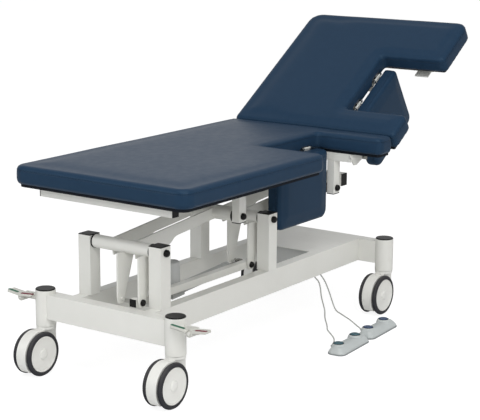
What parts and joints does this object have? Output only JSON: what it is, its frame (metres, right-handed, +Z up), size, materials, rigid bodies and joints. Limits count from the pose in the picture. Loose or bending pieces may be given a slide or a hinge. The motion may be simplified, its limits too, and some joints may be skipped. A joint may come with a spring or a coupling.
{
  "type": "examination table",
  "caption": "Height-adjustable examination table with a hinged backrest, two fold-down side pads, parallel lift arms, swivel casters, brake pedals and corded foot switches.",
  "frame": {"origin": "on the floor, midway between the four caster swivels", "axes": "+X from the foot end to the backrest end, +Y to the side away from the fold-down pads, +Z up"},
  "size_m": [1.9251, 0.8703, 1.0702],
  "materials": {
    "frame_paint": "satin off-white powder coat",
    "vinyl": "semi-matte slate blue upholstery vinyl",
    "board": "matte black sealed board",
    "painted_board": "off-white painted board and straps",
    "black_plastic": "moulded caps and bushes",
    "white_plastic": "moulded caster hood",
    "wheel_disc": "moulded wheel",
    "tyre": "dark non-marking tread",
    "steel": "zinc plated",
    "actuator_grey": "moulded actuator housing",
    "switch_shell": "textured light grey shell",
    "button_teal": "soft button",
    "button_blue": "soft button",
    "cord_grey": "smooth sheath"
  },
  "bodies": {
    "base": {"base_frame": "frame_paint", "caster_stems": "frame_paint", "base_posts": "frame_paint", "base_caps": "black_plastic", "base_pivot_shafts": "steel", "base_cover": "frame_paint", "control_box": "actuator_grey", "lift_bracket": "frame_paint", "pedal_lugs": "frame_paint", "foot_switch_1": "switch_shell", "foot_switch_2": "switch_shell", "foot_switch_cord_1": "cord_grey", "foot_switch_cord_2": "cord_grey"},
    "foot_arm": {"foot_lift_arm": "frame_paint", "foot_crank": "frame_paint", "foot_arm_plastics": "black_plastic"},
    "head_arm": {"head_lift_arm": "frame_paint", "head_crank": "frame_paint", "head_arm_plastics": "black_plastic"},
    "tie_bar": {"tie_bar": "frame_paint", "tie_bar_plugs": "black_plastic"},
    "lift_housing": {"lift_actuator_housing": "actuator_grey"},
    "lift_rod": {"lift_actuator_rod": "steel"},
    "top": {"top_frame": "frame_paint", "hanging_posts": "frame_paint", "top_caps": "black_plastic", "top_pivot_shafts": "steel", "seat_cushion": "vinyl", "seat_board": "board", "seat_flap_brackets": "steel", "backrest_hinge": "steel"},
    "seat_flap": {"seat_flap_pad": "vinyl", "seat_flap_board": "painted_board"},
    "backrest": {"backrest_cushion": "vinyl", "backrest_board": "board", "backrest_frame": "frame_paint", "backrest_lever": "frame_paint", "backrest_flap_brackets": "steel"},
    "backrest_flap": {"backrest_flap_pad": "vinyl", "backrest_flap_board": "painted_board"},
    "back_housing": {"back_actuator_housing": "actuator_grey"},
    "back_rod": {"back_actuator_rod": "steel"},
    "caster_foot_near": {"caster_foot_near_hood": "white_plastic"},
    "wheels_foot_near": {"caster_foot_near_wheels": "wheel_disc", "caster_foot_near_tyres": "tyre"},
    "caster_foot_far": {"caster_foot_far_hood": "white_plastic"},
    "wheels_foot_far": {"caster_foot_far_wheels": "wheel_disc", "caster_foot_far_tyres": "tyre"},
    "caster_head_near": {"caster_head_near_hood": "white_plastic"},
    "wheels_head_near": {"caster_head_near_wheels": "wheel_disc", "caster_head_near_tyres": "tyre"},
    "caster_head_far": {"caster_head_far_hood": "white_plastic"},
    "wheels_head_far": {"caster_head_far_wheels": "wheel_disc", "caster_head_far_tyres": "tyre"},
    "pedal_near": {"brake_pedal_near": "steel"},
    "pedal_far": {"brake_pedal_far": "steel"},
    "button_1_1": {"foot_switch_1_button_1": "button_teal"},
    "button_1_2": {"foot_switch_1_button_2": "button_teal"},
    "button_2_1": {"foot_switch_2_button_1": "button_blue"},
    "button_2_2": {"foot_switch_2_button_2": "button_blue"}
  },
  "joints": [
    {"name": "lift", "type": "hinge", "parent": "base", "child": "foot_arm", "pos_m": [-0.57, 0, 0.454], "axis": [0, -1, 0], "range_deg": [-10, 39]},
    {"name": "head_arm_swing", "type": "hinge", "parent": "base", "child": "head_arm", "pos_m": [0.038, 0, 0.454], "axis": [0, -1, 0], "range_deg": [-10, 39]},
    {"name": "tie_bar_pivot", "type": "hinge", "parent": "foot_arm", "child": "tie_bar", "pos_m": [-0.6044, -0.0825, 0.2875], "axis": [0, -1, 0], "range_deg": [-39, 10]},
    {"name": "top_frame_level", "type": "hinge", "parent": "foot_arm", "child": "top", "pos_m": [-0.1335, 0, 0.494], "axis": [0, -1, 0], "range_deg": [-39, 10]},
    {"name": "lift_actuator_tilt", "type": "hinge", "parent": "base", "child": "lift_housing", "pos_m": [-0.43, -0.048, 0.262], "axis": [0, -1, 0], "range_deg": [-1, 1]},
    {"name": "lift_actuator_stroke", "type": "slide", "parent": "lift_housing", "child": "lift_rod", "axis": [0.9983, 0, 0.0587], "range_m": [-0.0325, 0.1125]},
    {"name": "backrest_tilt", "type": "hinge", "parent": "top", "child": "backrest", "pos_m": [0.545, 0, 0.688], "axis": [0, -1, 0], "range_deg": [-33, 42]},
    {"name": "back_actuator_tilt", "type": "hinge", "parent": "top", "child": "back_housing", "pos_m": [0.095, 0, 0.5633], "axis": [0, -1, 0], "range_deg": [-1, 1]},
    {"name": "back_actuator_stroke", "type": "slide", "parent": "back_housing", "child": "back_rod", "axis": [1, 0, 0], "range_m": [-0.068, 0.086]},
    {"name": "seat_flap_fold", "type": "hinge", "parent": "top", "child": "seat_flap", "pos_m": [0.263, -0.0925, 0.65], "axis": [-1, 0, 0], "range_deg": [0, 90]},
    {"name": "backrest_flap_fold", "type": "hinge", "parent": "backrest", "child": "backrest_flap", "pos_m": [0.80639, -0.0925, 0.81244], "axis": [-0.8387, 0, -0.5446], "range_deg": [0, 90]},
    {"name": "caster_foot_near_swivel", "type": "hinge", "parent": "base", "child": "caster_foot_near", "pos_m": [-0.65, -0.273, 0.166], "axis": [0, 0, 1], "continuous": true},
    {"name": "caster_foot_near_roll", "type": "hinge", "parent": "caster_foot_near", "child": "wheels_foot_near", "pos_m": [-0.702, -0.273, 0.075], "axis": [0, 1, 0], "continuous": true},
    {"name": "caster_foot_far_swivel", "type": "hinge", "parent": "base", "child": "caster_foot_far", "pos_m": [-0.65, 0.273, 0.166], "axis": [0, 0, 1], "continuous": true},
    {"name": "caster_foot_far_roll", "type": "hinge", "parent": "caster_foot_far", "child": "wheels_foot_far", "pos_m": [-0.702, 0.273, 0.075], "axis": [0, 1, 0], "continuous": true},
    {"name": "caster_head_near_swivel", "type": "hinge", "parent": "base", "child": "caster_head_near", "pos_m": [0.65, -0.273, 0.166], "axis": [0, 0, 1], "continuous": true},
    {"name": "caster_head_near_roll", "type": "hinge", "parent": "caster_head_near", "child": "wheels_head_near", "pos_m": [0.598, -0.273, 0.075], "axis": [0, 1, 0], "continuous": true},
    {"name": "caster_head_far_swivel", "type": "hinge", "parent": "base", "child": "caster_head_far", "pos_m": [0.65, 0.273, 0.166], "axis": [0, 0, 1], "continuous": true},
    {"name": "caster_head_far_roll", "type": "hinge", "parent": "caster_head_far", "child": "wheels_head_far", "pos_m": [0.598, 0.273, 0.075], "axis": [0, 1, 0], "continuous": true},
    {"name": "brake_pedal_near_rock", "type": "hinge", "parent": "base", "child": "pedal_near", "pos_m": [-0.669, -0.352, 0.25], "axis": [1, 0, 0], "range_deg": [-10, 10]},
    {"name": "brake_pedal_far_rock", "type": "hinge", "parent": "base", "child": "pedal_far", "pos_m": [-0.669, 0.352, 0.25], "axis": [1, 0, 0], "range_deg": [-10, 10]},
    {"name": "foot_switch_1_button_1_press", "type": "slide", "parent": "base", "child": "button_1_1", "axis": [0, 0, -1], "range_m": [0, 0.003], "stiffness_N_per_m": 900, "springref_m": -0.001},
    {"name": "foot_switch_1_button_2_press", "type": "slide", "parent": "base", "child": "button_1_2", "axis": [0, 0, -1], "range_m": [0, 0.003], "stiffness_N_per_m": 900, "springref_m": -0.001},
    {"name": "foot_switch_2_button_1_press", "type": "slide", "parent": "base", "child": "button_2_1", "axis": [0, 0, -1], "range_m": [0, 0.003], "stiffness_N_per_m": 900, "springref_m": -0.001},
    {"name": "foot_switch_2_button_2_press", "type": "slide", "parent": "base", "child": "button_2_2", "axis": [0, 0, -1], "range_m": [0, 0.003], "stiffness_N_per_m": 900, "springref_m": -0.001}
  ],
  "couplings": [
    {"joint": "head_arm_swing", "follows": "lift", "ratio": 1},
    {"joint": "tie_bar_pivot", "follows": "lift", "ratio": -1},
    {"joint": "top_frame_level", "follows": "lift", "ratio": -1},
    {"joint": "lift_actuator_tilt", "follows": "lift", "ratio": -0.005},
    {"joint": "lift_actuator_stroke", "follows": "lift", "m_per_rad": 0.16237},
    {"joint": "back_actuator_tilt", "follows": "backrest_tilt", "ratio": 0.0025},
    {"joint": "back_actuator_stroke", "follows": "backrest_tilt", "m_per_rad": 0.11563}
  ]
}
